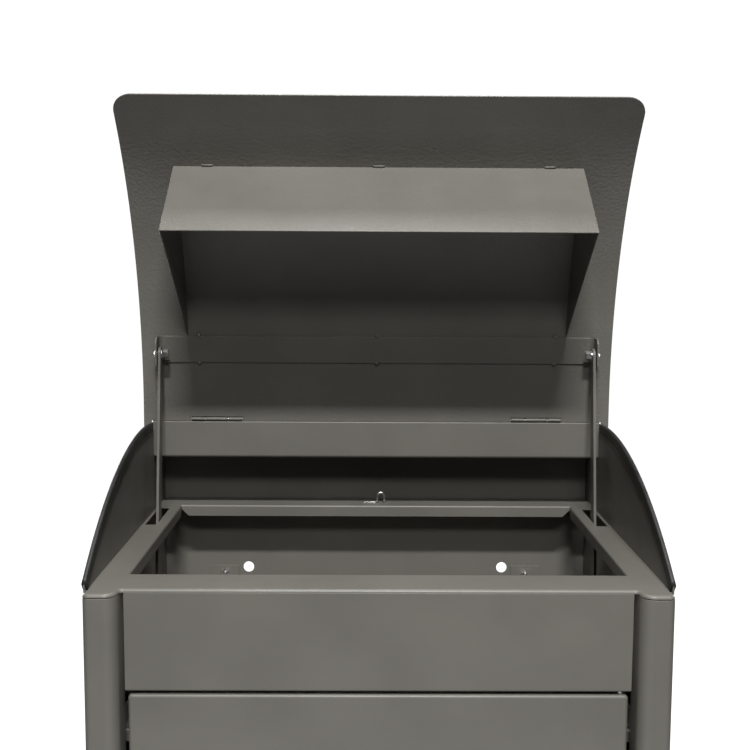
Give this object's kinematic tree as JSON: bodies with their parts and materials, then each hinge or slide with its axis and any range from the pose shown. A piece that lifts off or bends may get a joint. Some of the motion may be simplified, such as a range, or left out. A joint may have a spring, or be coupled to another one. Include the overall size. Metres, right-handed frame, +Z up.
{
  "type": "top-loading parcel drop box",
  "caption": "Wall-mounted sheet-steel parcel box: a curved top lid with a hood opens on a drop opening, link arms work the tray below it, and a locked front door empties it",
  "frame": {"origin": "middle of the underside of the base, in the middle of the body's width and depth", "axes": "+Z up, -Y towards the person in front of the door, +X to that person's right, +Y into the wall"},
  "size_m": [0.456, 0.335, 0.8852],
  "materials": {
    "body_paint": "satin",
    "lid_paint": "semi-gloss hammered",
    "door_paint": "satin",
    "link_paint": "satin",
    "rubber_trim": "satin",
    "zinc": "zinc plated",
    "lock_chrome": "polished"
  },
  "bodies": {
    "cabinet": {"side_panel_left": "body_paint", "side_panel_right": "body_paint", "back_panel": "body_paint", "base_panel": "body_paint", "sill_panel": "body_paint", "top_frame": "body_paint", "rear_cover": "body_paint", "edge_trim_left": "rubber_trim", "edge_trim_right": "rubber_trim", "wire_eye": "zinc", "tray_brackets": "link_paint", "bracket_studs": "zinc", "bracket_nuts": "zinc", "tray_shaft": "zinc", "lid_hinge_body_leaves": "lid_paint"},
    "lid": {"lid_panel": "lid_paint", "hood": "lid_paint", "hood_welds": "lid_paint", "crossbar": "lid_paint", "crossbar_welds": "lid_paint", "pivot_bolts": "zinc", "pivot_nuts": "zinc", "pivot_washers": "zinc", "lid_hinge_lid_leaves": "lid_paint", "lid_hinge_pins": "zinc"},
    "left_link": {"arm_left": "link_paint"},
    "right_link": {"arm_right": "link_paint"},
    "tray": {"tray_panel": "link_paint", "tray_tube": "link_paint", "tray_lugs": "link_paint", "tray_pins": "zinc", "pin_clips": "zinc"},
    "door": {"door_panel": "door_paint", "door_stiffener": "door_paint", "door_pivot_pins": "zinc", "lock_housing": "lock_chrome", "lock_nut": "lock_chrome"},
    "lock": {"lock_plug": "lock_chrome", "lock_cam": "zinc", "cam_screw": "zinc"}
  },
  "joints": [
    {"name": "lid_hinge", "type": "hinge", "parent": "cabinet", "child": "lid", "pos_m": [0, 0.1081, 0.5909], "axis": [1, 0, 0], "range_deg": [0, 87.4]},
    {"name": "left_link_pivot", "type": "hinge", "parent": "lid", "child": "left_link", "pos_m": [-0.20765, 0.0915, 0.6559], "axis": [1, 0, 0], "range_deg": [-64.5, 0]},
    {"name": "right_link_pivot", "type": "hinge", "parent": "lid", "child": "right_link", "pos_m": [0.20765, 0.0915, 0.6559], "axis": [1, 0, 0], "range_deg": [-64.5, 0]},
    {"name": "tray_pivot", "type": "hinge", "parent": "cabinet", "child": "tray", "pos_m": [0, 0.1525, 0.388], "axis": [1, 0, 0], "range_deg": [0, 74.7]},
    {"name": "door_hinge", "type": "hinge", "parent": "cabinet", "child": "door", "pos_m": [0.1843, -0.1483, 0.2295], "axis": [0, 0, 1], "range_deg": [0, 105]},
    {"name": "lock_turn", "type": "hinge", "parent": "door", "child": "lock", "pos_m": [-0.16, -0.1455, 0.23], "axis": [0, 1, 0], "range_deg": [0, 90]}
  ],
  "couplings": [
    {"joint": "left_link_pivot", "follows": "lid_hinge", "ratio": -0.73799},
    {"joint": "right_link_pivot", "follows": "lid_hinge", "ratio": -0.73799},
    {"joint": "tray_pivot", "follows": "lid_hinge", "ratio": 0.85469}
  ]
}
